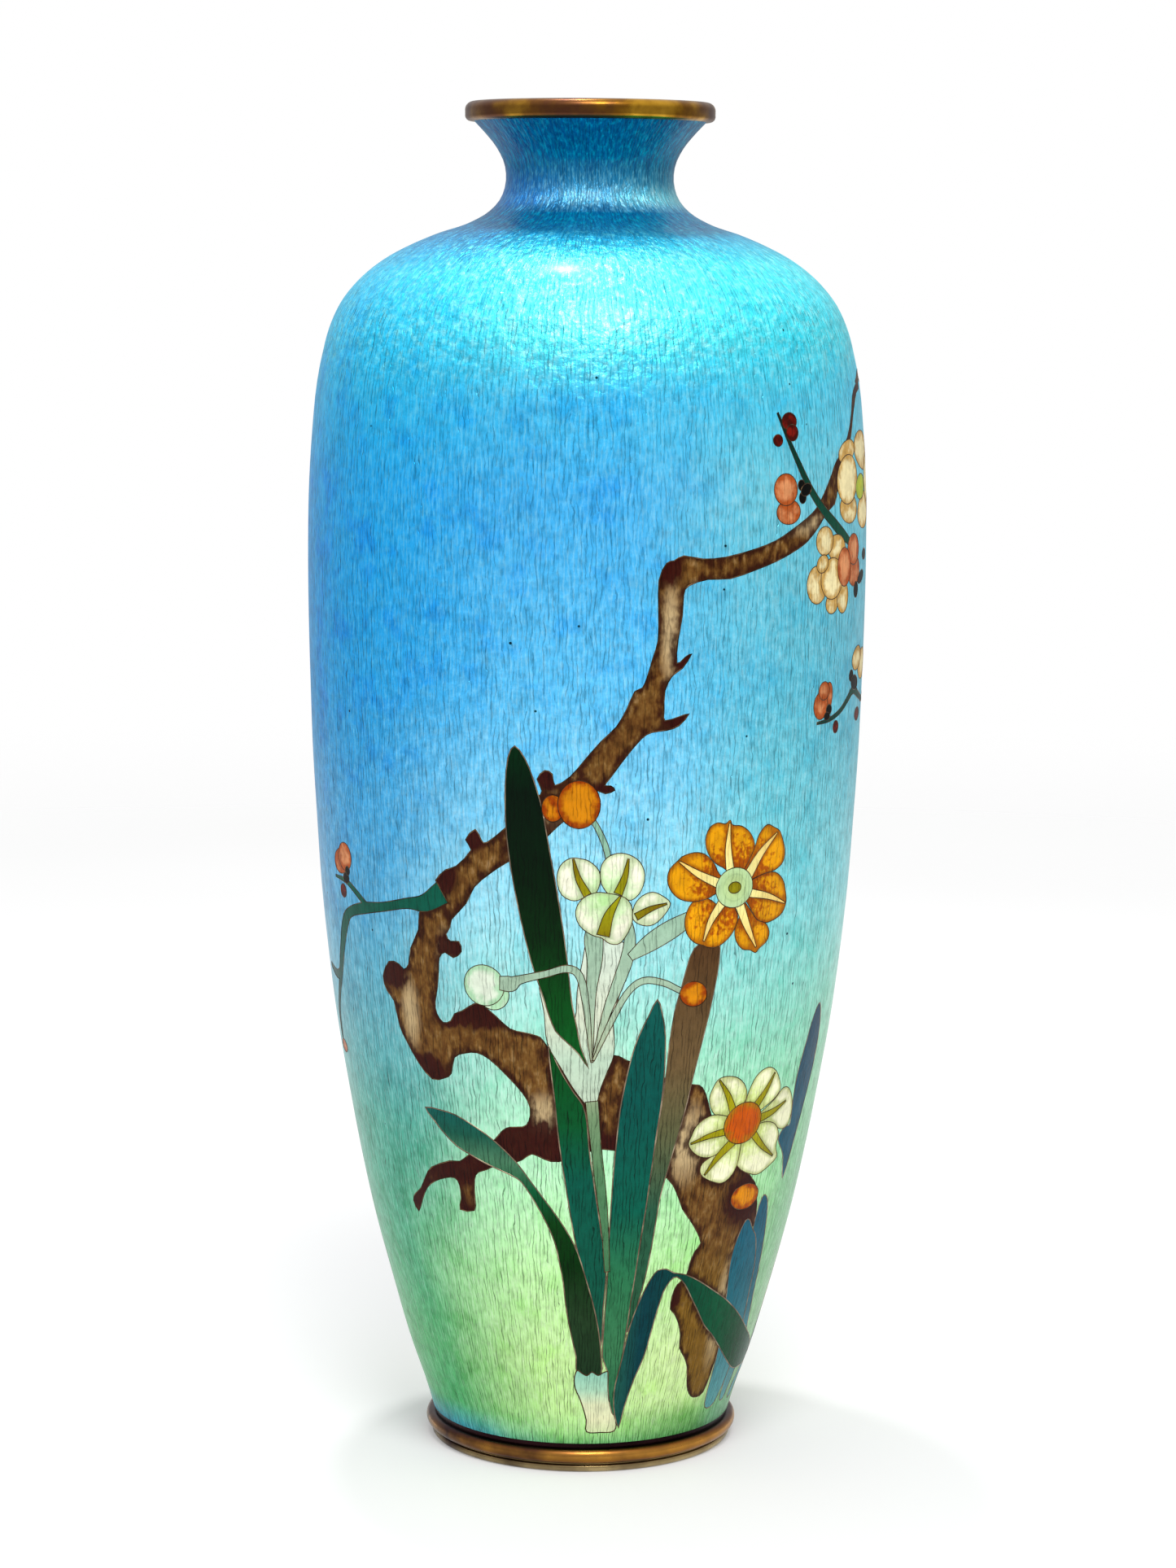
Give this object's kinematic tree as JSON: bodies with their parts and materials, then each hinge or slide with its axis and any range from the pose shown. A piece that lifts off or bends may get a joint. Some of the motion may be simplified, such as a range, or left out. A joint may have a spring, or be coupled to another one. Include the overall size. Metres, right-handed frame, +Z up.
{
  "type": "cloisonne vase",
  "caption": "Tall shouldered vase with a narrow flared neck and brass mouth and foot mounts, wire-celled enamel flowers over silver foil; stands by itself and holds stems.",
  "frame": {"origin": "centre of the foot's resting face, on the surface the vase stands on", "axes": "+Z up along the axis of the body; the main side of the picture faces -Y; +X to the viewer's right"},
  "size_m": [0.0992, 0.0992, 0.24],
  "materials": {
    "copper": "satin copper",
    "brass_mount": "polished, toned brown",
    "counter_enamel": "gloss",
    "silver_foil": "embossed with fine upright creases",
    "silver_wire": "polished flush",
    "ground_enamel": "translucent gloss, blue above to green below",
    "green_leaf_enamel": "translucent gloss",
    "blue_leaf_enamel": "translucent gloss",
    "brown_leaf_enamel": "translucent gloss",
    "bark_enamel": "mottled gloss",
    "twig_enamel": "gloss",
    "pale_enamel": "gloss",
    "stem_enamel": "translucent gloss",
    "blossom_enamel": "opaque gloss",
    "yellow_green_enamel": "translucent gloss",
    "bud_enamel": "mottled gloss",
    "dark_enamel": "gloss",
    "red_enamel": "gloss",
    "orange_enamel": "translucent gloss",
    "cream_enamel": "gloss",
    "mint_enamel": "translucent gloss",
    "olive_enamel": "translucent gloss",
    "white_enamel": "gloss",
    "red_orange_enamel": "translucent gloss"
  },
  "bodies": {
    "root": {"copper_body": "copper", "copper_base": "copper", "foot_mount": "brass_mount", "rim_mount": "brass_mount", "inner_counter_enamel": "counter_enamel", "base_counter_enamel": "counter_enamel", "silver_foil": "silver_foil", "ground_enamel": "ground_enamel", "plum_branch": "bark_enamel", "green_twigs": "twig_enamel", "blue_leaves": "blue_leaf_enamel", "brown_leaf": "brown_leaf_enamel", "lower_blade": "green_leaf_enamel", "bulb_sheath": "pale_enamel", "tall_leaf": "green_leaf_enamel", "centre_leaf": "green_leaf_enamel", "curved_leaf": "green_leaf_enamel", "folded_leaf": "green_leaf_enamel", "spathe": "pale_enamel", "flower_stems": "stem_enamel", "blossom_petals": "blossom_enamel", "blossom_hearts": "yellow_green_enamel", "plum_buds": "bud_enamel", "bud_calyxes": "dark_enamel", "berries": "red_enamel", "orange_petals": "orange_enamel", "orange_rays": "cream_enamel", "orange_cup": "mint_enamel", "orange_stigma": "olive_enamel", "white_petals": "white_enamel", "white_rays": "olive_enamel", "white_bud": "white_enamel", "orange_buds": "orange_enamel", "low_petals": "white_enamel", "low_rays": "olive_enamel", "low_cup": "red_orange_enamel", "branch_wires": "silver_wire", "twig_wires": "silver_wire", "leaf_wires": "silver_wire", "sheath_wires": "silver_wire", "stem_wires": "silver_wire", "blossom_wires": "silver_wire", "berry_wires": "silver_wire", "orange_flower_wires": "silver_wire", "white_flower_wires": "silver_wire", "bud_wires": "silver_wire", "low_flower_wires": "silver_wire"}
  },
  "joints": []
}
